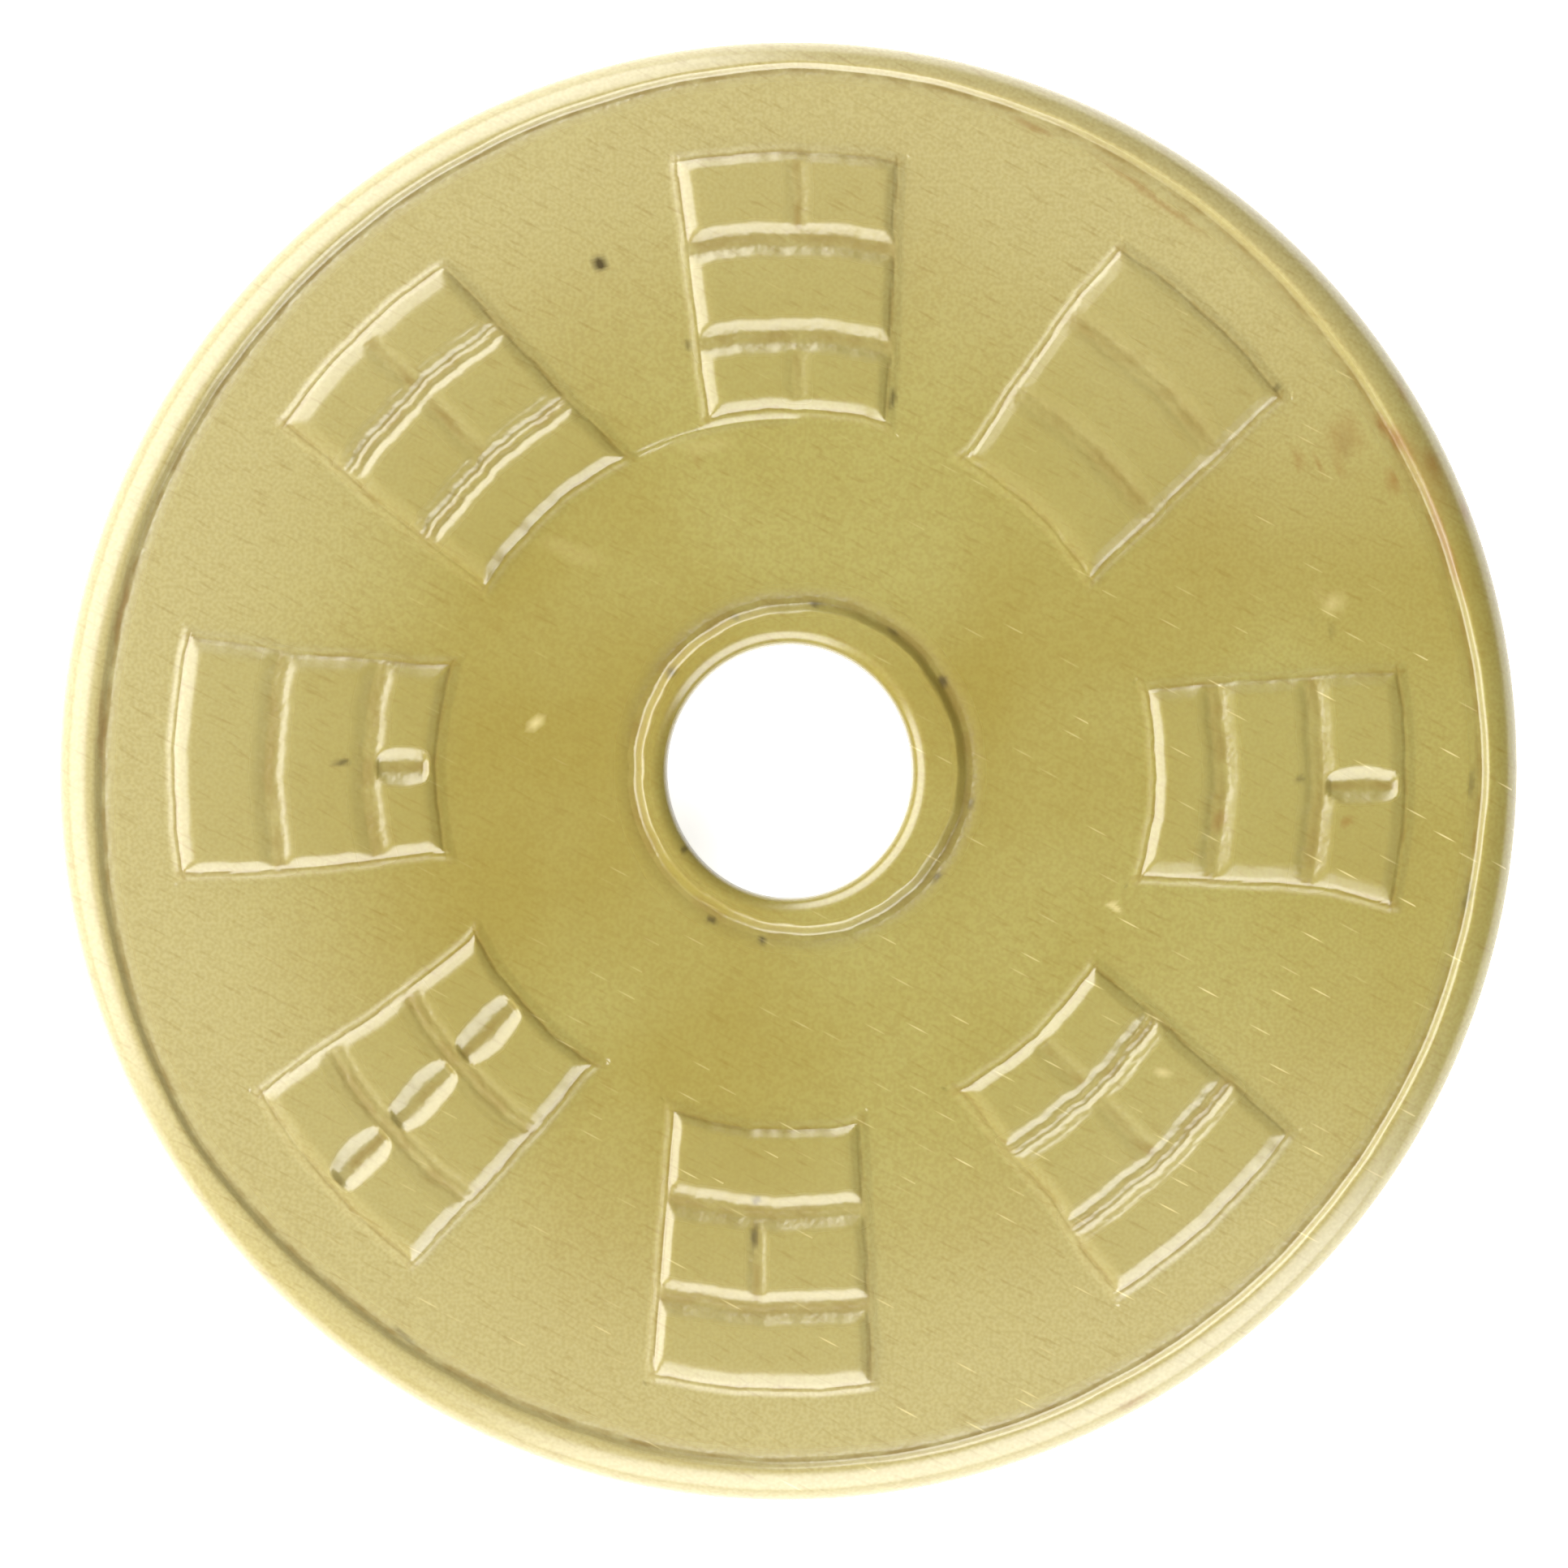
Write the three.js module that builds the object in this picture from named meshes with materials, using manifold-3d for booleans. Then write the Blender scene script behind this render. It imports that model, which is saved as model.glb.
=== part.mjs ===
// Jade bi disc: a flat round disc with a hole through its middle. Its upper face carries the
// eight trigrams in low relief, each of three bars that are whole or broken in two.
// Millimetres, +Z up. The disc lies on its plain face at z = 0, centred on the Z axis.

import * as THREE from 'three';
import { mergeVertices } from 'three/addons/utils/BufferGeometryUtils.js';
import Module from 'manifold-3d';

const wasm = await Module();
wasm.setup();

// Disc
const discRadius = 28;
const discThickness = 5;
const discSegments = 96;
const ovalness = 0.0026; // the long half axis is this share longer, and the short one shorter
const ovalBearing = 46.5; // degrees from +X to the long axis

// Rim: a rounded band outside a turned line, alike on both faces
const rimLine = { radius: 26.4, width: 0.7, depth: 0.35 };
const rimRound = { width: 1.05, height: 1.5, steps: 5 };

// Hole, a little taller than wide, and the turned line that leaves a ring round it
const hole = { halfWidth: 4.73, halfHeight: 4.9, offset: 0.05, round: 0.55, steps: 4, segments: 56 };
const ringLine = { radius: 6.5, width: 0.8, depth: 0.35, segments: 56 };
const ringLineOffset = [0.44, 0.1]; // the line is cut off centre, so the ring is wider towards +X

// Trigrams: the ground between the two lines is lowered round them, a fine cut runs along their
// edges, and broader grooves part their bars
const trigramStep = 45; // degrees from one trigram to the next, the first at +X
const groundDrop = 0.18;
const edgeCut = { width: 0.6, floor: 0, depth: 0.28 };
const barCut = { width: 1.5, floor: 0.4, depth: 0.32 };
const splitCut = { width: 1.2, floor: 0.3, depth: 0.3 };
const arcSteps = 6;
const overrun = 0.15; // how far the straight side cuts run past the corners
const cutterRise = 0.4; // how far a cutter stands above the face that it cuts

// The trigrams are cut by hand, so each leans and spreads a little differently. arcs are the radii
// of its rim end, its two grooves and its hole end. The other distances run clockwise from the
// trigram's own radius: its two sides at either end, and the line that parts its broken bars.
// Bars are listed from the rim inwards.
const whole = 'whole';
const broken = 'broken';
const trigrams = [
  { // xun, at +X
    bars: [broken, whole, whole],
    arcs: [23.7, 20.3, 16.6, 14.1],
    rimSides: [-3.8, 5.1],
    holeSides: [-3.1, 4.0],
    split: 0.55,
  },
  { // qian
    bars: [whole, whole, whole],
    arcs: [23.7, 20.4, 16.8, 13.8],
    rimSides: [-5.0, 3.0],
    holeSides: [-3.6, 2.9],
    split: 0,
  },
  { // kan, at +Y
    bars: [broken, whole, broken],
    arcs: [23.7, 20.3, 16.7, 13.8],
    rimSides: [-4.1, 4.2],
    holeSides: [-3.1, 3.8],
    split: 0.35,
  },
  { // gen
    bars: [broken, broken, whole],
    arcs: [23.4, 20.3, 16.5, 13.7],
    rimSides: [-4.1, 4.2],
    holeSides: [-3.1, 4.1],
    split: 0.3,
  },
  { // dui, at -X
    bars: [whole, whole, broken],
    arcs: [23.5, 19.8, 16.1, 13.5],
    rimSides: [-3.9, 5.2],
    holeSides: [-3.1, 4.0],
    split: 0.15,
  },
  { // kun
    bars: [broken, broken, broken],
    arcs: [23.6, 20.5, 16.9, 13.6],
    rimSides: [-3.0, 5.5],
    holeSides: [-2.6, 4.1],
    split: 1.05,
  },
  { // li, at -Y
    bars: [whole, broken, whole],
    arcs: [23.6, 20.6, 16.9, 13.8],
    rimSides: [-3.1, 5.2],
    holeSides: [-2.7, 4.4],
    split: 1.2,
  },
  { // zhen
    bars: [whole, broken, broken],
    arcs: [23.6, 20.5, 16.7, 13.8],
    rimSides: [-3.7, 5.2],
    holeSides: [-3.0, 4.0],
    split: 0.4,
  },
];

const jade = new THREE.MeshStandardMaterial({ color: 0xc6bb7c, roughness: 0.3, metalness: 0 });

// A round arc in the plane of the upper face, with its angles clockwise from +Y.
class FaceArc extends THREE.Curve {
  constructor(radius, start, end) {
    super();
    this.radius = radius;
    this.start = start;
    this.end = end;
  }

  getPoint(share, target = new THREE.Vector3()) {
    const angle = this.start + (this.end - this.start) * share;
    return target.set(this.radius * Math.sin(angle), this.radius * Math.cos(angle), discThickness);
  }
}

// A closed three.js geometry as a solid that can be joined and cut.
function solidOf(geometry) {
  geometry.deleteAttribute('normal');
  geometry.deleteAttribute('uv');
  const merged = mergeVertices(geometry, 1e-5);
  return new wasm.Manifold(new wasm.Mesh({
    numProp: 3,
    vertProperties: new Float32Array(merged.attributes.position.array),
    triVerts: new Uint32Array(merged.index.array),
  }));
}

function geometryOf(solid) {
  const mesh = solid.getMesh();
  const geometry = new THREE.BufferGeometry();
  geometry.setAttribute('position', new THREE.BufferAttribute(new Float32Array(mesh.vertProperties), 3));
  geometry.setIndex(new THREE.BufferAttribute(new Uint32Array(mesh.triVerts), 1));
  return geometry;
}

// A profile of [radius, height] points turned round the Z axis.
function turned(profile, segments) {
  const points = profile.map(([radius, height]) => new THREE.Vector2(radius, height));
  return new THREE.LatheGeometry(points, segments).rotateX(Math.PI / 2);
}

// Half of the disc's outer edge, from the field out over the line and the band to the side.
function edgeProfile() {
  const points = [
    [rimLine.radius - rimLine.width / 2, discThickness],
    [rimLine.radius, discThickness - rimLine.depth],
    [rimLine.radius + rimLine.width / 2, discThickness],
  ];
  for (let i = 0; i <= rimRound.steps; i += 1) {
    const angle = (i / rimRound.steps) * (Math.PI / 2);
    points.push([
      discRadius - rimRound.width * (1 - Math.sin(angle)),
      discThickness - rimRound.height * (1 - Math.cos(angle)),
    ]);
  }
  return points;
}

function discSolid() {
  const upper = edgeProfile();
  const lower = upper.map(([radius, height]) => [radius, discThickness - height]);
  const profile = [[0, 0], ...lower, ...upper.toReversed(), [0, discThickness]];
  const bearing = THREE.MathUtils.degToRad(ovalBearing);
  const geometry = turned(profile, discSegments);
  geometry.rotateZ(-bearing).scale(1 + ovalness, 1 - ovalness, 1).rotateZ(bearing);
  return solidOf(geometry);
}

// The hole's cutter widens into a round flare at both faces.
function holeCutter() {
  const upper = [];
  for (let i = 0; i <= hole.steps; i += 1) {
    const angle = (i / hole.steps) * (Math.PI / 2);
    upper.push([
      hole.halfWidth + hole.round * (1 - Math.cos(angle)),
      discThickness - hole.round * (1 - Math.sin(angle)),
    ]);
  }
  const flare = hole.halfWidth + hole.round;
  upper.push([flare, discThickness + cutterRise]);
  const lower = upper.map(([radius, height]) => [radius, discThickness - height]).toReversed();
  const profile = [[0, -cutterRise], ...lower, ...upper, [0, discThickness + cutterRise]];
  const geometry = turned(profile, hole.segments);
  geometry.scale(1, hole.halfHeight / hole.halfWidth, 1).translate(hole.offset, 0, 0);
  return solidOf(geometry);
}

// The ring's line is cut into both faces, each by a turned wedge whose point lies in the jade.
function ringLineCutters() {
  const halfTop = (ringLine.width / 2) * (1 + cutterRise / ringLine.depth);
  const point = [ringLine.radius, ringLine.depth];
  const inner = [ringLine.radius - halfTop, -cutterRise];
  const outer = [ringLine.radius + halfTop, -cutterRise];
  const mirrored = ([radius, height]) => [radius, discThickness - height];
  const lower = [point, inner, outer, point];
  const upper = [point, outer, inner, point].map(mirrored);
  return [lower, upper].map((section) => (
    turned(section, ringLine.segments).translate(...ringLineOffset, 0)
  ));
}

// A groove's section, with its first axis pointing down into the jade. Its walls slope from the
// groove's width at the face to a narrow floor or a point, and run on upwards clear of the face.
function grooveSection({ width, floor, depth }) {
  const flare = ((width - floor) / 2) * (cutterRise / depth);
  const section = new THREE.Shape();
  section.moveTo(-cutterRise, -width / 2 - flare);
  section.lineTo(depth, -floor / 2);
  if (floor > 0) {
    section.lineTo(depth, floor / 2);
  }
  section.lineTo(-cutterRise, width / 2 + flare);
  section.closePath();
  return section;
}

function straightCutter(cut, from, to) {
  const path = new THREE.LineCurve3(
    new THREE.Vector3(...from, discThickness),
    new THREE.Vector3(...to, discThickness),
  );
  return new THREE.ExtrudeGeometry(grooveSection(cut), { steps: 1, extrudePath: path });
}

function arcCutter(cut, radius, left, right) {
  const path = new FaceArc(radius, Math.asin(left / radius), Math.asin(right / radius));
  return new THREE.ExtrudeGeometry(grooveSection(cut), { steps: arcSteps, extrudePath: path });
}

// Where a trigram's side stands at a radius, clockwise from the trigram's own radius.
function sideAt({ arcs, rimSides, holeSides }, side, radius) {
  const share = (radius - arcs[3]) / (arcs[0] - arcs[3]);
  return THREE.MathUtils.lerp(holeSides[side], rimSides[side], share);
}

// Points along one of a trigram's arcs, from its left side to its right.
function arcPoints(trigram, radius) {
  const start = Math.asin(sideAt(trigram, 0, radius) / radius);
  const end = Math.asin(sideAt(trigram, 1, radius) / radius);
  return Array.from({ length: arcSteps + 1 }, (_, i) => {
    const angle = THREE.MathUtils.lerp(start, end, i / arcSteps);
    return new THREE.Vector2(radius * Math.sin(angle), radius * Math.cos(angle));
  });
}

// The block of jade that a trigram is cut from, drawn with its own radius along +Y.
function trigramBlock(trigram) {
  const rimEnd = arcPoints(trigram, trigram.arcs[0]);
  const holeEnd = arcPoints(trigram, trigram.arcs[3]);
  const outline = new THREE.Shape([...rimEnd, ...holeEnd.toReversed()]);
  const block = new THREE.ExtrudeGeometry(outline, { depth: 3 * cutterRise, bevelEnabled: false });
  return block.translate(0, 0, discThickness - cutterRise);
}

// The cuts of one trigram, drawn with its own radius along +Y and clockwise along +X.
function trigramCutters(trigram) {
  const { arcs, rimSides, holeSides, split, bars } = trigram;
  const heightAt = (across, radius) => Math.sqrt(radius ** 2 - across ** 2);
  const cutters = [0, 1].map((side) => straightCutter(
    edgeCut,
    [rimSides[side], heightAt(rimSides[side], arcs[0]) + overrun],
    [holeSides[side], heightAt(holeSides[side], arcs[3]) - overrun],
  ));
  arcs.forEach((radius, i) => {
    const cut = i === 0 || i === 3 ? edgeCut : barCut;
    cutters.push(arcCutter(cut, radius, sideAt(trigram, 0, radius), sideAt(trigram, 1, radius)));
  });
  bars.forEach((bar, i) => {
    if (bar === broken) {
      cutters.push(straightCutter(splitCut, [split, arcs[i]], [split, arcs[i + 1]]));
    }
  });
  return cutters;
}

// The jade above the lowered ground, between the rim's line and the ring's, less the trigrams.
function groundCutter(turns) {
  const low = discThickness - groundDrop;
  const high = discThickness + cutterRise;
  const slab = [[0, low], [rimLine.radius, low], [rimLine.radius, high], [0, high]];
  const post = [[0, low - cutterRise], [ringLine.radius, low - cutterRise],
    [ringLine.radius, high + cutterRise], [0, high + cutterRise]];
  const ring = turned(post, ringLine.segments).translate(...ringLineOffset, 0);
  let ground = solidOf(turned(slab, discSegments)).subtract(solidOf(ring));
  trigrams.forEach((trigram, i) => {
    ground = ground.subtract(solidOf(trigramBlock(trigram).rotateZ(turns[i])));
  });
  return ground;
}

function biDisc() {
  const turns = trigrams.map((_, i) => THREE.MathUtils.degToRad(i * trigramStep - 90));
  let solid = discSolid().subtract(holeCutter()).subtract(groundCutter(turns));
  ringLineCutters().forEach((cutter) => {
    solid = solid.subtract(solidOf(cutter));
  });
  trigrams.forEach((trigram, i) => {
    trigramCutters(trigram).forEach((cutter) => {
      solid = solid.subtract(solidOf(cutter.rotateZ(turns[i])));
    });
  });
  const mesh = new THREE.Mesh(geometryOf(solid), jade);
  mesh.name = 'bi_disc';
  return mesh;
}

const group = new THREE.Group();
group.add(biDisc());

export default group;
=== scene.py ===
# Jade bi disc, 56 mm across, lying on its plain face on a light table.
# The disc is one mesh: a polar grid whose columns follow the sides of the eight trigrams and whose
# rings follow their grooves. Its relief is worked out in millimetres and scaled to metres at the end.

import math

import bpy
import numpy as np
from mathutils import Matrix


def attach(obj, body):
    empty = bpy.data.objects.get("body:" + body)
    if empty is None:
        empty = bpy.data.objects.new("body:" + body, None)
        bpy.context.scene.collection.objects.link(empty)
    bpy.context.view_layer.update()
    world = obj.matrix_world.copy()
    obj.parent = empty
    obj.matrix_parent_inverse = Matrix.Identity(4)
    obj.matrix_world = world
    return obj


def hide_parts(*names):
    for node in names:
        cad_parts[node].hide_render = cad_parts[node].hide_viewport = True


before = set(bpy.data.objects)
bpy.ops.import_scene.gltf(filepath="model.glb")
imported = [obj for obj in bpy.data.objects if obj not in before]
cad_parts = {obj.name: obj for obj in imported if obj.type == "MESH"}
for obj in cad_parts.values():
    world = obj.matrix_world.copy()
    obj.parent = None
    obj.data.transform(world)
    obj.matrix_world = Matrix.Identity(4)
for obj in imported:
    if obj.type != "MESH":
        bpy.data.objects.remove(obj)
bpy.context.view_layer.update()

mm = 0.001


def linear(hexColour):
    # sRGB hex to the linear colour that shaders take
    parts = [int(hexColour[i:i + 2], 16) / 255 for i in (1, 3, 5)]
    return (*[c / 12.92 if c <= 0.04045 else ((c + 0.055) / 1.055) ** 2.4 for c in parts], 1.0)


def ease(x):
    x = np.clip(x, 0, 1)
    return x * x * (3 - 2 * x)


def softMax(a, b, width):
    # the larger of two heights, with the join rounded over about this width
    h = np.clip(width - np.abs(a - b), 0, None) / width
    return np.maximum(a, b) + h * h * width * 0.25


# Sizes of the disc in mm
discSizes = {
    "radius": 28.0,
    "thickness": 5.0,
    "ovalness": 0.0026,  # long half axis longer by this share, short one shorter
    "ovalBearing": 46.5,  # degrees
    "rimRoundWidth": 1.35,
    "rimRoundHeight": 1.25,
    "holeHalfWidth": 4.73,
    "holeHalfHeight": 4.9,
    "holeOffset": 0.05,
    "holeRound": 0.6,
    "ringLineRadius": 6.5,
    "ringLineCentre": (0.44, 0.1),
    "groundDrop": 0.32,  # ground between the trigrams, below their tops
    "bandDrop": 0.24,  # rim band, below the trigrams' tops
    "groundDome": 0.1,  # how much further it falls by the rim line
    "domeStart": 13.0,  # radius where that begins
    "domeReach": 13.0,
}

# Rim line: degrees round the disc, and the radius that the hand-held wheel kept there
rimLineBearings = [0, 30, 45, 63, 90, 105, 135, 180, 197, 212, 232, 255, 270, 298, 350, 360]
rimLineRadii = [26.5, 26.35, 26.5, 26.7, 26.85, 26.5, 26.25, 26.2,
                26.5, 26.6, 26.25, 26.3, 26.4, 26.35, 26.4, 26.5]

# Each side line is given at these distances from the centre, from the rim inwards
sideStations = [23.0, 21.0, 18.5, 16.0, 13.8]

# Every trigram as cut: bars from the rim inwards (1 whole, 2 broken), the radii of its rim end, two
# grooves and hole end, and its two sides, measured clockwise from its own radius at the stations.
# edge: width of the polished fall at its rim, left, hole and right sides. leaf: how far the split
# narrows towards its ends. passes: how strongly the wheel left ridges in the grooves. depths: the
# share of the full fall along the edges, then the depth of the grooves and of the splits.
trigrams = [
    {"name": "xun", "bars": (2, 1, 1), "arcs": (23.65, 20.3, 16.6, 14.1),
     "left": (-3.8, -3.7, -3.5, -3.35, -3.1), "right": (5.1, 4.5, 4.25, 4.15, 4.0),
     "edge": (0.5, 0.55, 0.4, 0.7), "split": 0.55, "splitWidth": 0.95, "leaf": 0.5, "passes": 0.3,
     "depths": (0.8, 0.2, 0.3)},
    {"name": "qian", "bars": (1, 1, 1), "arcs": (23.7, 20.45, 16.95, 13.75),
     "left": (-5.1, -5.0, -4.6, -4.15, -3.7), "right": (3.1, 3.05, 3.0, 2.95, 2.9),
     "edge": (0.35, 0.5, 0.45, 0.45), "split": 0.0, "splitWidth": 0.8, "leaf": 0.0, "passes": 0.25,
     "depths": (0.45, 0.12, 0.0)},
    {"name": "kan", "bars": (2, 1, 2), "arcs": (23.7, 20.4, 16.7, 13.9),
     "left": (-4.2, -3.95, -3.65, -3.35, -3.05), "right": (4.15, 4.05, 4.0, 3.9, 3.75),
     "edge": (0.45, 0.6, 0.55, 0.45), "split": 0.35, "splitWidth": 0.7, "leaf": 0.0, "passes": 0.25,
     "depths": (1.0, 0.26, 0.1)},
    {"name": "gen", "bars": (2, 2, 1), "arcs": (23.4, 20.3, 16.5, 13.6),
     "left": (-4.2, -3.95, -3.85, -3.55, -3.2), "right": (4.3, 4.3, 4.2, 4.1, 4.1),
     "edge": (0.8, 0.65, 0.45, 0.5), "split": 0.3, "splitWidth": 0.8, "leaf": 0.0, "passes": 1.0,
     "depths": (0.9, 0.2, 0.12)},
    {"name": "dui", "bars": (1, 1, 2), "arcs": (23.5, 19.85, 16.1, 13.5),
     "left": (-3.9, -3.85, -3.7, -3.4, -3.1), "right": (5.2, 4.85, 4.45, 4.3, 4.05),
     "edge": (0.66, 0.5, 0.5, 0.7), "split": 0.15, "splitWidth": 1.0, "leaf": 0.5, "passes": 0.2,
     "depths": (1.0, 0.17, 0.3)},
    {"name": "kun", "bars": (2, 2, 2), "arcs": (23.65, 20.5, 16.9, 13.5),
     "left": (-3.05, -3.0, -2.95, -2.8, -2.6), "right": (5.5, 5.25, 4.7, 4.3, 4.05),
     "edge": (0.5, 0.5, 0.4, 0.55), "split": 1.1, "splitWidth": 1.05, "leaf": 0.5, "passes": 0.6,
     "depths": (0.85, 0.14, 0.3)},
    {"name": "li", "bars": (1, 2, 1), "arcs": (23.65, 20.6, 16.95, 13.75),
     "left": (-3.15, -3.1, -3.0, -2.85, -2.7), "right": (5.15, 5.0, 4.8, 4.6, 4.4),
     "edge": (0.7, 0.5, 0.45, 0.4), "split": 1.2, "splitWidth": 0.55, "leaf": 0.0, "passes": 0.3,
     "depths": (1.0, 0.25, 0.12)},
    {"name": "zhen", "bars": (1, 2, 2), "arcs": (23.6, 20.6, 16.9, 13.9),
     "left": (-3.75, -3.6, -3.4, -3.25, -3.0), "right": (5.2, 4.95, 4.4, 4.3, 3.95),
     "edge": (0.5, 0.5, 0.45, 0.5), "split": 0.5, "splitWidth": 0.8, "leaf": 0.0, "passes": 1.0,
     "depths": (0.85, 0.22, 0.12)},
]

reliefSizes = {
    "edgeFall": 0.22,  # polished fall from a trigram's top to the crease along it
    "apronFall": 0.1,  # and on from the crease to the ground
    "apronWidth": 0.42,
    "creaseDepth": 0.035,
    "creaseWidth": 0.16,
    "grooveHalf": 0.9,  # half the width of the grooves between bars
    "grooveFloor": 0.12,  # half the width of their flat floor
    "passPitch": 0.47,  # ridges left where the wheel went over a groove several times
    "passRidge": 0.03,
    "edgeSpread": 1.15,  # every polished fall is wider than listed by this factor
    "sideWander": 0.04,  # how far each kind of cut strays off its line
    "holeEndWander": 0.05,
    "grooveWander": 0.06,
    "splitWander": 0.05,
    "joinWidth": 0.06,  # rounding where two cuts meet
    "grooveJoinWidth": 0.09,
    "splitEndGap": 0.1,  # a split stops this far short of its bar's sides
    "splitEndFade": 0.4,
    "trigramZone": (10, 27),  # no trigram reaches past these radii
    "trigramReach": 40,  # nor further than this to either side of its bearing, in degrees
    "guideArc": {"radius": 13.45, "from": 87, "to": 118, "depth": 0.05, "halfWidth": 0.13},
}

# Lines turned into the upper face: half width, depth below the ground, the width of the roll down to
# them and of the wall on their other side, and how far they stray
rimCut = {"half": 0.06, "depth": 0.06, "roll": 0.5, "wall": 0.3, "wander": 0.03}
ringCut = {"half": 0.1, "depth": 0.08, "roll": 0.5, "wall": 0.4, "wander": 0.06}

# The same two lines on the underside
lowerLines = {
    "rimRadius": 26.4,
    "rimHalf": 0.42,
    "ringHalf": 0.45,
    "floor": 0.05,
    "depth": 0.25,
    "dirt": 0.6,
}

# Dirt left in the cuts: how strong it is, and how far it reaches from the middle
cutDirt = {
    "crease": (0.45, 0.1),
    "groove": (0.45, 0.28),
    "split": (0.6, 0.16),
    "rimLine": (0.65, 0.11),
    "ringLine": (0.5, 0.25),
}


def sideAt(trigram, side, along):
    return np.interp(along, sideStations[::-1], trigram[side][::-1])


def bumpy(x, seed):
    # slow, hand-made wander along a line, about one unit high, by a few fixed waves
    waves = np.sin(x * 1.7 + seed) + 0.6 * np.sin(x * 3.9 + seed * 2.3)
    return (waves + 0.4 * np.sin(x * 8.3 + seed * 4.1)) / 2


def bell(s, reach):
    # 1 on a line, fading out on both sides of it
    return np.exp(-(s / reach) ** 2)


def dirtAt(s, cut):
    strength, reach = cutDirt[cut]
    return strength * bell(s, reach)


def edgeProfile(s, width, share):
    # fall at a distance s outside a trigram's crease: polished slope, narrow crease, apron.
    # A shallow trigram keeps the full drop to the ground but spreads it over a wider, softer slope.
    sizes = reliefSizes
    steep = sizes["edgeFall"] * share
    inner = np.clip(1 + s / width, 0, 1)
    wide = np.clip(1 + s / (width * 4), 0, 1)
    apron = 1 - np.clip(s / sizes["apronWidth"], 0, 1)
    fall = steep * inner ** 1.12 + (sizes["edgeFall"] - steep) * ease(wide)
    fall = fall + sizes["apronFall"] * (1 - apron ** 1.4)
    crease = bell(s, sizes["creaseWidth"] * 0.5)
    return fall + sizes["creaseDepth"] * crease


def grooveProfile(s, half, floor):
    return ease((half - np.abs(s)) / (half - floor))


def trigramRelief(x, y, index):
    # fall below the trigram's top, distance outside its edges, and how dirty and how matte it is
    trigram = trigrams[index]
    sizes = reliefSizes
    bearing = math.radians(45 * index)
    along = x * math.cos(bearing) + y * math.sin(bearing)
    t = x * math.sin(bearing) - y * math.cos(bearing)
    rho = np.hypot(x, y)
    seed = index * 1.9
    rimArc, groove1, groove2, holeArc = trigram["arcs"]
    edgeShare, grooveDepth, splitDepth = trigram["depths"]
    left = sideAt(trigram, "left", along) + sizes["sideWander"] * bumpy(along, seed)
    right = sideAt(trigram, "right", along) + sizes["sideWander"] * bumpy(along, seed + 3)
    distances = [
        rho - rimArc - sizes["sideWander"] * bumpy(t, seed + 5),
        left - t,
        holeArc + sizes["holeEndWander"] * bumpy(t, seed + 6) - rho,
        t - right,
    ]
    fall = np.zeros_like(x)
    crease = np.zeros_like(x)
    outside = np.max(distances, axis=0)
    for s, width in zip(distances, trigram["edge"]):
        edge = edgeProfile(s, width * sizes["edgeSpread"], edgeShare)
        fall = softMax(fall, edge, sizes["joinWidth"])
        crease = np.maximum(crease, dirtAt(s, "crease") * (outside < s + 0.3))
    # grooves run out from 0.1 mm inside the edges to 0.35 mm outside, dirt a little further
    inside = ease((0.35 - outside) / 0.45)
    grime = crease * ease((0.5 - outside) / 0.4)
    matte = np.zeros_like(x)
    for number, radius in enumerate((groove1, groove2)):
        s = rho - radius - sizes["grooveWander"] * bumpy(t, seed + 7 + number)
        shape = grooveProfile(s, sizes["grooveHalf"], sizes["grooveFloor"])
        ridges = np.sin(s * 2 * math.pi / sizes["passPitch"] + 0.8 * bumpy(t, seed + 9))
        cut = grooveDepth + trigram["passes"] * sizes["passRidge"] * ridges
        fall = softMax(fall, shape * inside * cut, sizes["grooveJoinWidth"])
        matte = np.maximum(matte, shape * inside)
        grime = np.maximum(grime, dirtAt(s, "groove") * inside)
    ends = trigram["arcs"]
    for number, parts in enumerate(trigram["bars"]):
        if parts == 2:
            outer, inner = ends[number], ends[number + 1]
            middle, half = (outer + inner) / 2, (outer - inner) / 2
            s = t - trigram["split"] - sizes["splitWander"] * bumpy(along, seed + 11 + number)
            leaf = 1 - trigram["leaf"] * np.clip(np.abs(rho - middle) / half, 0, 1) ** 2
            width = trigram["splitWidth"] * leaf
            reach = half - sizes["splitEndGap"] - np.abs(rho - middle)
            reach = ease(reach / sizes["splitEndFade"])
            shape = grooveProfile(s, width, sizes["grooveFloor"]) * reach
            fall = softMax(fall, shape * splitDepth, sizes["joinWidth"])
            matte = np.maximum(matte, shape)
            grime = np.maximum(grime, dirtAt(s, "split") * reach)
    return fall, outside, grime, matte


def domeFall(r):
    # how far the ground has fallen away at a radius
    share = (r - discSizes["domeStart"]) / discSizes["domeReach"]
    return discSizes["groundDome"] * np.clip(share, 0, None) ** 2


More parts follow.
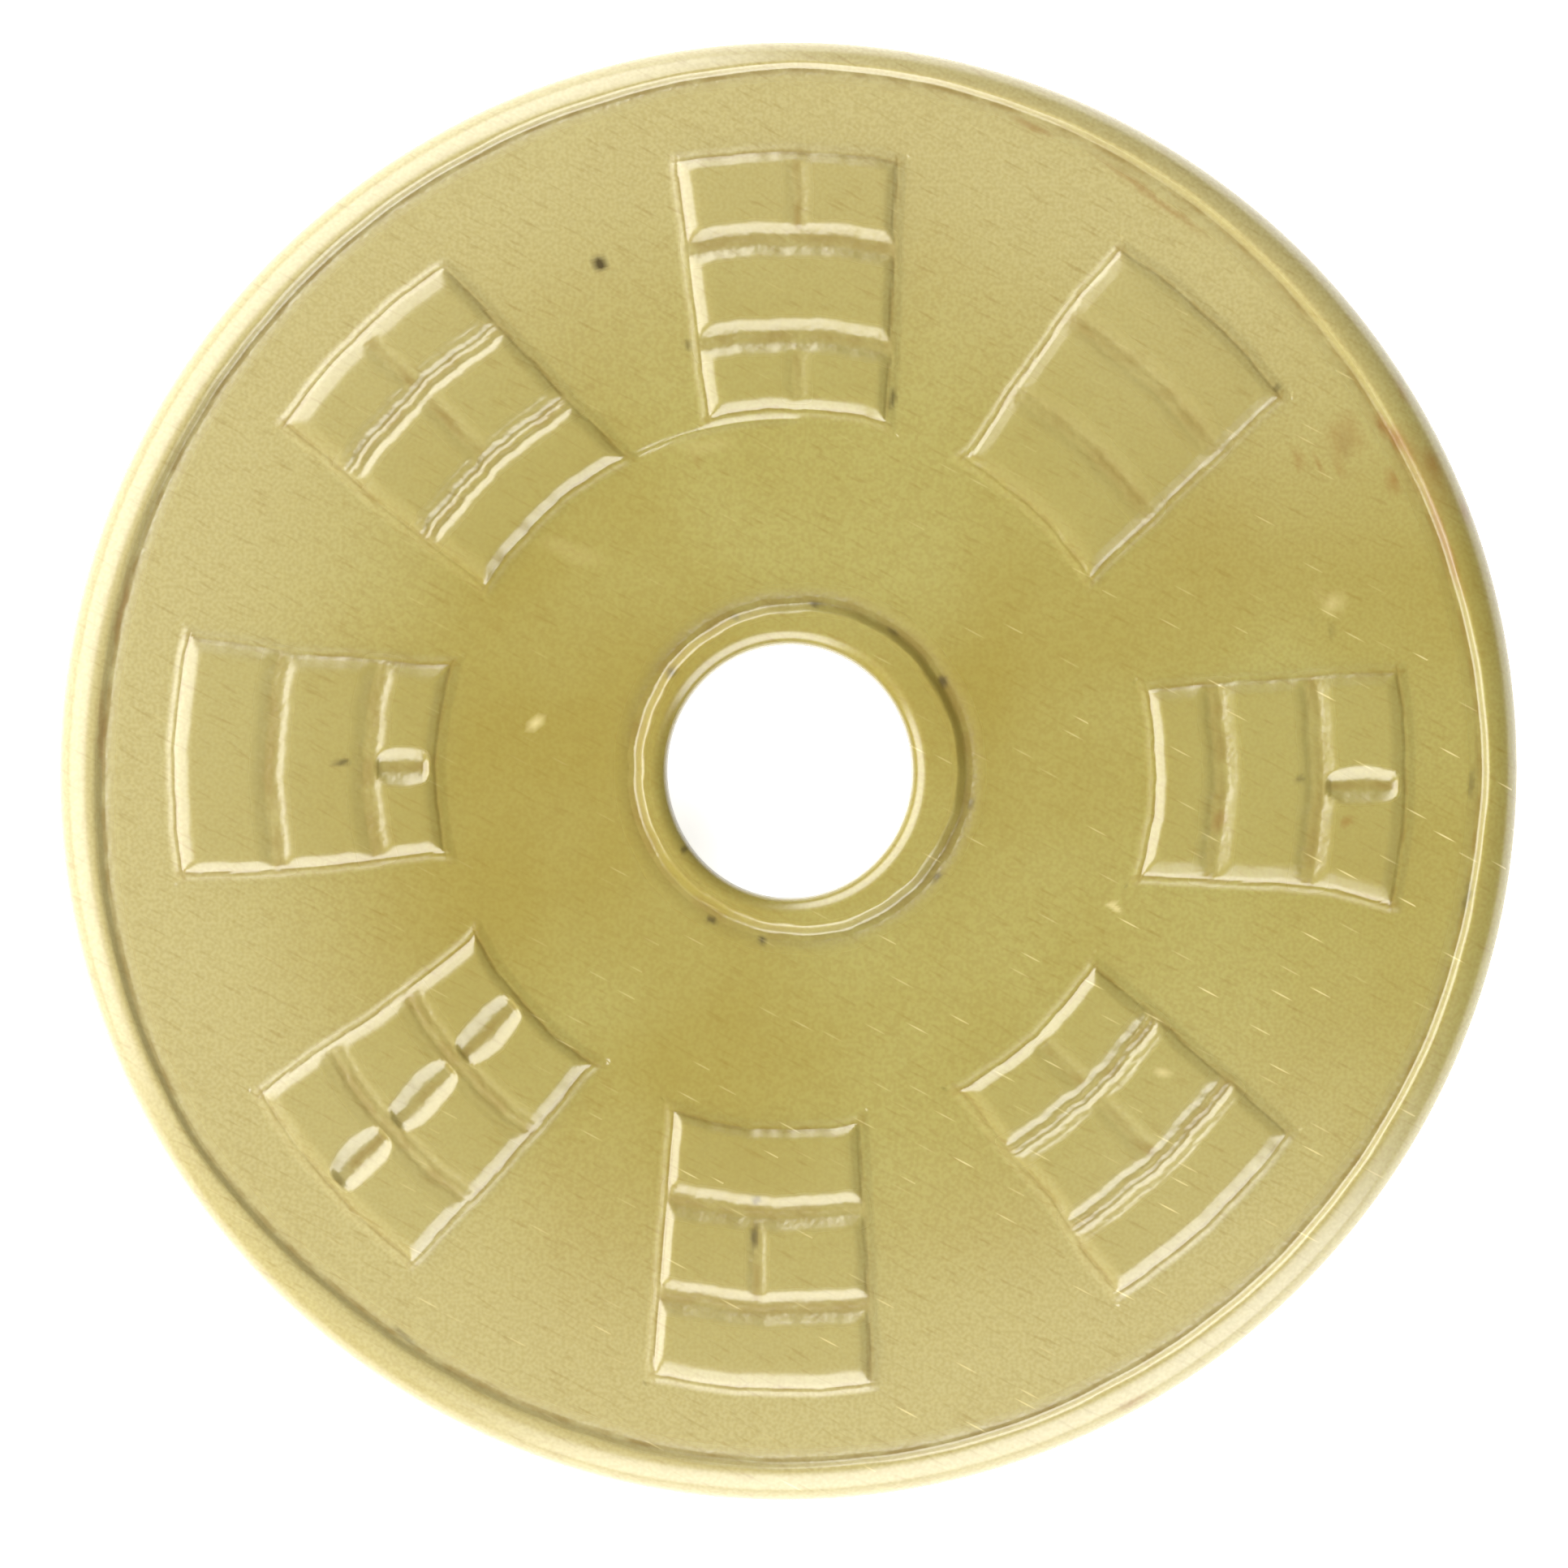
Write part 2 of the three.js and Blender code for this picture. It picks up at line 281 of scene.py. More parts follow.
def upperRelief(x, y):
    # everything cut into the upper face, as a fall below its highest level; then, from 0 to 1, how
    # dirty it is, how far it is ground matte, and how far it is a trigram's top, where a painted sheen goes
    sizes = discSizes
    r = np.hypot(x, y)
    bearing = np.degrees(np.arctan2(y, x)) % 360
    fall = np.full_like(x, sizes["groundDrop"])
    grime = np.zeros_like(x)
    matte = np.zeros_like(x)
    topSheen = np.zeros_like(x)
    innermost, outermost = reliefSizes["trigramZone"]
    for index in range(len(trigrams)):
        gap = np.abs((bearing - 45 * index + 180) % 360 - 180)
        mine = (gap <= reliefSizes["trigramReach"]) & (r > innermost) & (r < outermost)
        own, outside, dirt, ground = trigramRelief(x[mine], y[mine], index)
        within = outside < reliefSizes["apronWidth"]
        fall[mine] = np.where(within, own, fall[mine])
        grime[mine] = np.maximum(grime[mine], dirt)
        matte[mine] = np.maximum(matte[mine], ground)
        # how far each point is a trigram's top: the mask for the painted sheen of reflected light there
        topSheen[mine] = np.maximum(topSheen[mine], ease(-outside / 0.3))
    fall = fall + domeFall(r) * (r < sizes["radius"])

    # guide line that the wheel ran on from the top trigram towards the next
    guide = reliefSizes["guideArc"]
    reach = ease((bearing - guide["from"]) / 3) * ease((guide["to"] - bearing) / 4)
    fall = fall + guide["depth"] * reach * bell(r - guide["radius"], guide["halfWidth"])

    # rim line: the ground rolls down to it, and a short wall rises to the band outside
    line = np.interp(bearing, rimLineBearings, rimLineRadii)
    s = r - line - rimCut["wander"] * bumpy(bearing / 7, 1)
    band = ease((s - rimCut["half"]) / rimCut["wall"])
    roll = np.clip(1 + (s + rimCut["half"]) / rimCut["roll"], 0, 1) ** 1.7
    bottom = sizes["groundDrop"] + domeFall(line) + rimCut["depth"]
    wall = bottom * (1 - band) + sizes["bandDrop"] * band
    fall = np.where(s < -rimCut["half"], fall + rimCut["depth"] * roll, wall)
    grime = np.maximum(grime, dirtAt(s - 0.02, "rimLine"))
    matte = np.maximum(matte, bell(s + 0.05, 0.22))

    # ring line round the hole, cut off centre
    cx, cy = sizes["ringLineCentre"]
    turn = np.arctan2(y - cy, x - cx)
    s = np.hypot(x - cx, y - cy) - sizes["ringLineRadius"] - ringCut["wander"] * bumpy(turn * 3, 2)
    ring = ease((-s - ringCut["half"]) / ringCut["wall"])
    roll = np.clip(1 - (s - ringCut["half"]) / ringCut["roll"], 0, 1) ** 1.5
    wall = (sizes["groundDrop"] + ringCut["depth"]) * (1 - ring)
    fall = np.where(s < ringCut["half"], wall, fall + ringCut["depth"] * roll)
    grime = np.maximum(grime, dirtAt(s + 0.05, "ringLine"))
    matte = np.maximum(matte, bell(s, 0.4))
    return fall, grime, matte, topSheen


def rimVeilCover(x, y):
    # painted reflection: paler towards the rim, except at +X, standing in for the veil of shine from the
    # softboxes
    bearing = np.abs(np.degrees(np.arctan2(y, x)))
    return ease((np.hypot(x, y) - 12) / 14) * ease((bearing - 12) / 40)


def lowerRelief(x, y):
    # the underside is plain, with the same two lines
    lines = lowerLines
    r = np.hypot(x, y)
    cx, cy = discSizes["ringLineCentre"]
    ringDistance = np.hypot(x + cx, y - cy) - discSizes["ringLineRadius"]
    rim = grooveProfile(r - lines["rimRadius"], lines["rimHalf"], lines["floor"])
    ring = grooveProfile(ringDistance, lines["ringHalf"], lines["floor"])
    shape = np.maximum(rim, ring)
    return lines["depth"] * shape, shape * lines["dirt"], shape, np.zeros_like(x)


# Stains and inclusions: x, y, length, width in mm, bearing in degrees, strength
darkMarks = [
    (-7.1, 19.3, 0.95, 0.34, -50, 1.3), (6.5, 17.3, 0.6, 0.25, -10, 0.9),
    (21.6, 12.4, 0.5, 0.35, 20, 0.5),
    (20.0, 5.9, 0.5, 0.2, -30, 0.5), (20.8, 5.5, 0.5, 0.2, -30, 0.5), (18.7, 14.65, 0.4, 0.2, 60, 0.5),
    (-4.5, 3.8, 0.5, 0.4, 30, 0.8), (-4.0, -3.0, 0.35, 0.25, 30, 0.8),
    (-2.9, -5.7, 0.5, 0.3, -30, 0.8),
    (-1.0, -6.5, 0.4, 0.3, 0, 0.9), (1.0, 6.4, 0.5, 0.25, 0, 0.7), (4.0, 5.3, 0.4, 0.25, -40, 0.6),
    (5.9, 3.45, 0.5, 0.35, -60, 0.8), (6.95, -1.3, 0.4, 0.2, 80, 0.5), (5.7, -4.1, 0.45, 0.25, 50, 0.7),
    (-2.0, 5.9, 0.4, 0.2, 20, 0.5), (19.6, -0.3, 0.4, 0.25, 0, 0.5), (-17.1, 0.3, 0.6, 0.25, 0, 0.7),
    (-1.3, -17.8, 1.0, 0.3, 90, 0.7), (-1.2, -16.4, 0.4, 0.35, 0, 0.6), (20.7, -1.75, 0.4, 0.12, 0, 0.5),
    (4.0, 14.2, 0.8, 0.16, 85, 0.7), (-3.9, 16.3, 0.5, 0.12, 90, 0.5), (26.0, -4.8, 1.4, 0.22, 80, 0.5),
    (26.2, -0.5, 1.2, 0.18, 88, 0.4), (-21.0, -13.9, 0.5, 0.3, -30, 0.5), (-14.7, -21.6, 1.0, 0.3, -35, 0.5),
]
ironMarks = [
    (21.3, 12.8, 1.5, 1.7, 0, 0.32), (23.2, 12.8, 2.4, 0.45, -45, 0.8), (23.5, 12.6, 1.4, 0.2, -45, 0.8),
    (22.6, 11.25, 3.6, 0.3, -12, 0.6), (19.9, 11.9, 1.5, 0.18, -16, 0.5), (25.1, 9.0, 5.2, 0.35, -70, 0.6),
    (24.6, 11.9, 0.8, 0.4, 20, 0.6), (25.9, 10.0, 0.7, 0.4, -60, 0.6), (23.7, 14.4, 0.8, 0.3, -35, 0.5),
    (-3.6, 12.05, 0.45, 0.35, 0, 0.6), (21.3, -1.9, 0.35, 0.25, 0, 0.5), (16.5, -1.9, 0.9, 0.6, 90, 0.35),
    (9.4, 24.7, 1.6, 0.3, -22, 0.45), (14.0, 22.0, 5.5, 0.25, -36, 0.4), (24.4, 11.4, 3.4, 1.6, -55, 0.25),
    (13.2, -24.2, 1.4, 0.3, 28, 0.5), (-26.3, 1.5, 3.5, 0.22, 90, 0.4), (-25.5, 6.4, 3.0, 0.22, 76, 0.4),
]
paleMarks = [
    (-9.7, 1.9, 0.4, 0.22, -60, 0.8), (20.8, 6.45, 1.3, 0.5, -20, 0.4), (14.5, -11.5, 0.8, 0.12, -28, 0.8),
    (12.5, -5.2, 0.7, 0.1, -28, 0.7), (-3.2, 12.5, 2.2, 0.5, 10, 0.15), (-8.3, 8.4, 2.6, 0.8, -20, 0.12),
]


def markCover(x, y, marks):
    # 1 inside any of these ovals, fading out over a ragged edge
    cover = np.zeros_like(x)
    wobbleX = x + 0.09 * bumpy(y * 2.3, 4)
    wobbleY = y + 0.09 * bumpy(x * 2.3, 8)
    for markX, markY, length, width, bearing, strength in marks:
        turn = math.radians(bearing)
        dx, dy = wobbleX - markX, wobbleY - markY
        alongMark = (dx * math.cos(turn) + dy * math.sin(turn)) / (length / 2)
        across = (dy * math.cos(turn) - dx * math.sin(turn)) / (max(width, 0.28) / 2)
        cover = np.maximum(cover, strength * ease(1.35 - np.hypot(alongMark, across)))
    return cover


def columnLines():
    # each column in a trigram is a straight line in its own frame, given by t at the stations
    near = [0, 0.09, 0.19, 0.3, 0.42, 0.56, 0.72, 0.9, 1.12]
    lines = []
    for trigram in trigrams:
        left, right = np.array(trigram["left"]), np.array(trigram["right"])
        split = np.full(len(sideStations), trigram["split"])
        reach = min(trigram["splitWidth"] + 0.15, 1.1)
        own = [left - n for n in near[:0:-1]] + [left + n for n in near]
        own += [left + 1.12 + (split - reach - left - 1.12) * k / 6 for k in range(1, 6)]
        own += [split + reach * k / 9 for k in range(-9, 10)]
        own += [split + reach + (right - 1.12 - split - reach) * k / 6 for k in range(1, 6)]
        own += [right - n for n in near[::-1]] + [right + n for n in near[1:]]
        lines.append(own)
    return lines


columnFamilies = [own[::-1] for own in columnLines()]
gapColumns = 14  # between one trigram and the next
familySize = len(columnFamilies[0]) + gapColumns
columnCount = 8 * familySize


def anglesAt(radii):
    # the bearing of every column in radians, each at its own radius
    stations = np.array(sideStations[::-1])
    clamped = np.clip(np.broadcast_to(radii, columnCount), stations[0] - 0.6, stations[-1] + 0.9)
    angles = np.zeros(columnCount)
    for index, family in enumerate(columnFamilies):
        for k, line in enumerate(family):
            column = index * familySize + k
            t = np.interp(clamped[column], stations, line[::-1])
            angles[column] = math.radians(45 * index) - math.asin(t / clamped[column])
    for index in range(8):
        last = (index + 1) * familySize - gapColumns - 1
        end = angles[(index + 1) % 8 * familySize] + (2 * math.pi if index == 7 else 0)
        for k in range(1, gapColumns + 1):
            angles[last + k] = angles[last] + (end - angles[last]) * k / (gapColumns + 1)
    return angles


def around(centre, half, steps):
    # radii on both sides of a line, close together
    return [centre + half * k / steps for k in range(-steps, steps + 1)]


nominalArcs = (13.8, 16.75, 20.35, 23.6)  # hole end, grooves and rim end of an average trigram
zoneInner, zoneOuter = 12.4, 25.0  # inside and outside these radii the rings are not bent
bendBearings = np.linspace(0, 360, 720, endpoint=False)  # where the bends are worked out
innerRadius, outerRadius = 13.0, 24.4  # beyond these the columns keep the bearings they have there


# rings on both sides of a trigram's rim or hole end, closest together at the edge itself
edgeOffsets = (-1.0, -0.75, -0.58, -0.45, -0.34, -0.25, -0.17, -0.1, -0.04,
               0.02, 0.08, 0.15, 0.23, 0.33, 0.45, 0.6, 0.8, 1.1)


def ringRadii():
    # nominal radii of the rings in the trigram zone
    hole, second, first, rim = nominalArcs
    radii = [hole + n for n in (*edgeOffsets, 1.5)]
    radii += around(second, 1.1, 10)
    radii += [second + n for n in (1.45, 1.85, 2.2)]
    radii += around(first, 1.1, 10)
    radii += [first + 1.45]
    radii += [rim - n for n in (*edgeOffsets, 1.45)][::-1]
    return radii


def trigramRings(nominal):
    # the radius of each ring at the bend bearings, bent to the arcs of the nearest trigrams
    share = (bendBearings % 45) / 45
    here = (bendBearings // 45).astype(int) % 8
    following = (here + 1) % 8
    blend = ease((share - 0.4) / 0.2)
    arcs = np.array([t["arcs"][::-1] for t in trigrams])
    blended = arcs[here] * (1 - blend[:, None]) + arcs[following] * blend[:, None]
    knots = np.concatenate([[zoneInner], nominalArcs, [zoneOuter]])
    bent = np.zeros((len(nominal), len(bendBearings)))
    for c, own in enumerate(blended):
        bent[:, c] = np.interp(nominal, knots, np.concatenate([[zoneInner], own, [zoneOuter]]))
    return bent


def holeOutline(angle):
    a, b = discSizes["holeHalfWidth"], discSizes["holeHalfHeight"]
    return 1 / np.sqrt((np.cos(angle) / a) ** 2 + (np.sin(angle) / b) ** 2)


def ovalScale(angle):
    longAxis = math.radians(discSizes["ovalBearing"])
    return 1 + discSizes["ovalness"] * np.cos(2 * (angle - longAxis))


def circle(radius, angles, centreX=0.0, centreY=0.0):
    return centreX + radius * np.cos(angles), centreY + radius * np.sin(angles)


def between(one, two, share):
    # part of the way from one ring to another
    return [a + (b - a) * share for a, b in zip(one, two)]


def buildRings():
    # every ring, from the middle of the hole's wall up, over the upper face, down the rim and back
    # along the underside. tilt: how far it has turned from lying flat. facing: -1 towards the hole,
    # 1 outwards. step: it keeps one column in so many.
    sizes = discSizes
    top, middle = sizes["thickness"], sizes["thickness"] / 2
    holeRound, ringRadius = sizes["holeRound"], sizes["ringLineRadius"]
    cx, cy = sizes["ringLineCentre"]
    innerAngles, outerAngles = anglesAt(innerRadius), anglesAt(outerRadius)
    outline = sizes["radius"] * ovalScale(outerAngles)
    flat = np.zeros(columnCount)
    rings = []

    def add(points, z, tilt, facing, face, step):
        x, y = points
        rings.append({"x": x, "y": y, "z": flat + z, "tilt": tilt, "facing": facing, "face": face,
                      "step": step})

    def holeRing(inset):
        return circle(holeOutline(innerAngles) + inset, innerAngles, sizes["holeOffset"])

    # hole wall and its rounded upper edge
    for z in (middle, top - holeRound):
        add(holeRing(0), z, math.pi / 2, -1, "upper", 2)
    for k in range(1, 7):
        a = math.pi / 2 * (1 - k / 6)
        inset, sunk = holeRound * (1 - math.sin(a)), holeRound * (1 - math.cos(a))
        add(holeRing(inset), top - sunk, a, -1, "upper", 2)
    # ring, ring line and the ground out to the trigrams
    lineInside = circle(ringRadius - 0.6, innerAngles, cx, cy)
    for share in (0.3, 0.6):
        add(between(holeRing(holeRound), lineInside, share), top, 0, 1, "upper", 2)
    for offset in (-0.6, -0.5, -0.42, -0.35, -0.28, -0.21, -0.14, -0.07,
                   0, 0.07, 0.15, 0.25, 0.37, 0.5, 0.65):
        add(circle(ringRadius + offset, innerAngles, cx, cy), top, 0, 1, "upper", 2)
    lineOutside = circle(ringRadius + 0.65, innerAngles, cx, cy)
    zoneEdge = circle(zoneInner, innerAngles)
    for share in (0.06, 0.13, 0.2, 0.27, 0.34, 0.41, 0.48, 0.55, 0.62, 0.69, 0.76, 0.83):
        add(between(lineOutside, zoneEdge, share), top, 0, 1, "upper", 2)
    for share in (0.92, 1.0):
        add(between(lineOutside, zoneEdge, share), top, 0, 1, "upper", 1)
    # trigram zone: bend and bearing depend on each other, and two rounds settle them
    nominal = ringRadii()
    for radius, bend in zip(nominal, trigramRings(nominal)):
        angles = anglesAt(radius)
        for _ in range(2):
            own = np.interp(np.degrees(angles) % 360, bendBearings, bend, period=360)
            angles = anglesAt(own)
        add(circle(own, angles), top, 0, 1, "upper", 1)
    # rim line and band, where the tilt is left to the rim's rounding
    line = np.interp(np.degrees(outerAngles) % 360, rimLineBearings, rimLineRadii)
    for offset in (-1.1, -0.8, -0.62, -0.52, -0.44, -0.36, -0.28, -0.2, -0.13, -0.06,
                   0, 0.06, 0.11, 0.16, 0.21, 0.26, 0.32):
        add(circle(line + offset, outerAngles), top, None, 1, "upper", 1)
    inner = line + 0.32
    for k in range(1, 15):
        # on to the rim, closer together as the edge turns over
        radius = inner + (outline - inner) * math.sin(math.pi / 2 * (k / 14))
        add(circle(radius, outerAngles), top, None, 1, "upper", 1)
    # edge and its lower rounding
    for z in (middle, sizes["rimRoundHeight"]):
        add(circle(outline, outerAngles), z, math.pi / 2, 1, "side", 4)
    for k in range(1, 6):
        a = math.pi / 2 * (1 - k / 5)
        radius = outline - sizes["rimRoundWidth"] * (1 - math.sin(a))
        add(circle(radius, outerAngles), sizes["rimRoundHeight"] * (1 - math.cos(a)), a, 1, "lower", 4)
    # underside, in to the hole's lower edge
    for radius in (26.8, 26.65, 26.5, 26.4, 26.3, 26.15, 26.0, 22, 18, 14, 10):
        add(circle(radius, outerAngles), 0, 0, 1, "lower", 4)
    for offset in (0.5, 0.3, 0.15, 0, -0.15, -0.3, -0.5):
        add(circle(ringRadius + offset, innerAngles, -cx, cy), 0, 0, 1, "lower", 4)
    for k in range(5):
        a = math.pi / 2 * k / 4
        inset, raisedBy = holeRound * (1 - math.sin(a)), holeRound * (1 - math.cos(a))
        add(holeRing(inset), raisedBy, a, -1, "lower", 4 if k < 4 else 2)
    return rings


def rimTilt(x, y):
    # how far the rim's rounding has turned over at a point, 0 on the face and pi/2 at the edge
    sizes = discSizes
    angle = np.arctan2(y, x)
    start = sizes["radius"] * ovalScale(angle) - sizes["rimRoundWidth"]
    return np.arcsin(np.clip((np.hypot(x, y) - start) / sizes["rimRoundWidth"], 0, 1))


markLists = {"iron": ironMarks, "dark": darkMarks, "pale": paleMarks}
slopeStep = 0.015  # mm to either side of a point, for the slope there


def carveRing(ring):
    # a ring's points, normals and masks, with the relief cut into it
    sizes = discSizes
    face, facing = ring["face"], ring["facing"]
    x, y, z = (ring[k][::ring["step"]] for k in ("x", "y", "z"))
    length = np.hypot(x, y)
    outX, outY = x / length, y / length
    tilt = ring["tilt"]
    if tilt is None:
        tilt = rimTilt(x, y)
        z = z - sizes["rimRoundHeight"] * (1 - np.cos(tilt))
    tilt = np.broadcast_to(tilt, x.shape)
    grime, matte, topSheen, gx, gy = (np.zeros_like(x) for _ in range(5))
    onHoleWall = facing < 0 and tilt[0] > 1.5
    if face != "side" and not onHoleWall:
        relief = upperRelief if face == "upper" else lowerRelief
        fall, grime, matte, topSheen = relief(x, y)
        gx = (relief(x + slopeStep, y)[0] - relief(x - slopeStep, y)[0]) / (2 * slopeStep)
        gy = (relief(x, y + slopeStep)[0] - relief(x, y - slopeStep)[0]) / (2 * slopeStep)
        sunk = np.cos(tilt)
        z = z - fall * sunk if face == "upper" else z + fall * sunk
        gx, gy = gx * sunk, gy * sunk
    stretch = sizes["rimRoundHeight"] / sizes["rimRoundWidth"] if facing > 0 else 1.0
    nx = facing * np.sin(tilt) * outX * stretch + np.cos(tilt) * gx
    ny = facing * np.sin(tilt) * outY * stretch + np.cos(tilt) * gy
    nz = np.cos(tilt) * (-1 if face == "lower" else 1)
    size = np.sqrt(nx * nx + ny * ny + nz * nz)
    # the rim veil and top masks carry painted reflection: a pale veil towards the rim and a sheen on the
    # trigram tops
    masks = {"grime": grime, "ground": matte, "top": topSheen, "rimVeil": rimVeilCover(x, y)}
    for name, marks in markLists.items():
        masks[name] = markCover(x, y, marks) if face == "upper" else np.zeros_like(x)
    return zip(x * mm, y * mm, z * mm), zip(nx / size, ny / size, nz / size), masks


def joinRings(rings, starts):
    # faces from every ring to the next and from the last back to the first. Where one ring has more
    # columns, each face takes in all of its points between two columns of the other.
    faces = []
    count = len(rings)
    for index in range(count):
        stepOne, stepTwo = rings[index]["step"], rings[(index + 1) % count]["step"]
        sizeOne, sizeTwo = columnCount // stepOne, columnCount // stepTwo
        a, b = starts[index], starts[(index + 1) % count]
        if stepOne == stepTwo:
            for k in range(sizeOne):
                n = (k + 1) % sizeOne
                faces.append((a + k, b + k, b + n, a + n))
        elif stepOne > stepTwo:
            ratio = stepOne // stepTwo
            for k in range(sizeOne):
                n = (k + 1) % sizeOne
                fine = [b + (k * ratio + j) % sizeTwo for j in range(ratio + 1)]
                faces.append((a + k, *fine, a + n))
        else:
            ratio = stepTwo // stepOne
            for k in range(sizeTwo):
                n = (k + 1) % sizeTwo
                fine = [a + (k * ratio + j) % sizeOne for j in range(ratio + 1)]
                faces.append((b + k, b + n, *fine[::-1]))
    return faces


def buildDisc():
    rings = buildRings()
    points, normals, starts = [], [], []
    layers = {}
    for ring in rings:
        ringPoints, ringNormals, masks = carveRing(ring)
        starts.append(len(points))
        points.extend(ringPoints)
        normals.extend(ringNormals)
        for name, values in masks.items():
            layers.setdefault(name, []).extend(values)
    mesh = bpy.data.meshes.new("jade_disc")
    mesh.from_pydata(points, [], joinRings(rings, starts))
    mesh.update()
    mesh.polygons.foreach_set("use_smooth", [True] * len(mesh.polygons))
    for name, values in layers.items():
        layer = mesh.attributes.new(name, "FLOAT", "POINT")
        layer.data.foreach_set("value", np.array(values, dtype=np.float32))
    mesh.normals_split_custom_set_from_vertices(normals)
    disc = bpy.data.objects.new("jade_disc", mesh)
    bpy.context.scene.collection.objects.link(disc)
    triangles = sum(len(p.vertices) - 2 for p in mesh.polygons)
    print("jade_disc:", columnCount, "columns,", len(rings), "rings,", triangles, "triangles")
    return disc


disc = buildDisc()


def addNode(tree, kind, settings=None, links=None):
    node = tree.nodes.new(kind)
    for name, value in (settings or {}).items():
        if isinstance(name, str) and hasattr(node, name):
            setattr(node, name, value)
        else:
            node.inputs[name].default_value = value
    for socket, source in (links or {}).items():
        tree.links.new(source, node.inputs[socket])
    return node


jadeLook = {
    "body": "#766a2f",  # warm yellow-brown of the middle and lower left
    "cloud": "#7e7640",  # greener, milkier cloud
    "top": "#7a703e",  # painted sheen on the trigram tops: greyer and paler, standing in for reflected light
    "rimVeil": "#8d845a",  # painted reflection: a paler veil towards the rim, standing in for the softboxes' shine
    "grime": "#66501a",  # dirt in the cuts, and the darker grain and streaks
    "iron": "#6a4516",
    "dark": "#3a3015",
    "pale": "#a89c6c",
    "roughness": 0.27,
    "groundRoughness": 0.32,
    "cloudSize": 11.0,  # mm
    "grainSize": 0.14,
    "gritSize": 0.2,
    "gritDepth": 0.014,
    "scratchLength": 0.9,
    "scratchWidth": 0.07,
    "scratchBearing": -28.0,  # degrees
    "scratchSpacing": 1.3,
    "streakScale": (1.3, 0.17, 1),  # mm along and across
    "patchSize": 1.1,  # patches where the dirt has worn away
    "rimVeilShare": 0.85,  # how far these colours cover what lies below
    "topSheenShare": 0.4,
    "grainShare": 0.22,
    "streakShare": 0.3,
    "ior": 1.61,
    "subsurface": 0.3,
    "subsurfaceRadius": (1.0, 0.8, 0.4),
    "subsurfaceScale": 1.0,  # mm
}


def mixed(tree, factor, below, colour):
    # a colour laid over another by a mask
    return addNode(tree, "ShaderNodeMix", {"data_type": "RGBA", 7: linear(colour)},
                   {0: factor, 6: below}).outputs[2]


def product(tree, one, two):
    # two masks multiplied
    links = {0: one}
    settings = {"operation": "MULTIPLY"}
    if isinstance(two, (int, float)):
        settings[1] = two
    else:
        links[1] = two
    return addNode(tree, "ShaderNodeMath", settings, links).outputs[0]


def attribute(tree, name):
    return addNode(tree, "ShaderNodeAttribute", {"attribute_name": name}).outputs["Fac"]


def noise(tree, place, size, detail):
    # noise with features about this size
    return addNode(tree, "ShaderNodeTexNoise", {"Scale": 1 / size, "Detail": detail},
                   {"Vector": place}).outputs[0]


def spread(tree, source, fromRange, toRange=(0.0, 1.0)):
    # one range of a mask's values laid over another
    settings = {"From Min": fromRange[0], "From Max": fromRange[1],
                "To Min": toRange[0], "To Max": toRange[1]}
    return addNode(tree, "ShaderNodeMapRange", settings, {"Value": source}).outputs[0]


def vectorMath(tree, operation, settings, links):
    return addNode(tree, "ShaderNodeVectorMath", {"operation": operation, **settings}, links)


def scratchMask(tree, flat, look):
    # short straight scratches, one in some cells of a grid of scattered points
    turned = addNode(tree, "ShaderNodeMapping",
                     {"Rotation": (0, 0, -math.radians(look["scratchBearing"]))},
                     {"Vector": flat}).outputs[0]
    cells = addNode(tree, "ShaderNodeTexVoronoi",
                    {"voronoi_dimensions": "2D", "Scale": 1 / look["scratchSpacing"]},
                    {"Vector": turned})
    offset = vectorMath(tree, "SUBTRACT", {}, {0: turned, 1: cells.outputs["Position"]})
    half = (look["scratchLength"] / 2, look["scratchWidth"] / 2, 1)
    shrunk = vectorMath(tree, "DIVIDE", {1: half}, {0: offset.outputs[0]})
    reach = vectorMath(tree, "LENGTH", {}, {0: shrunk.outputs[0]})
    line = spread(tree, reach.outputs["Value"], (1.2, 0.5))
    chosen = addNode(tree, "ShaderNodeSeparateColor", None, {0: cells.outputs["Color"]})
    return product(tree, line, spread(tree, chosen.outputs[0], (0.7, 1.0)))


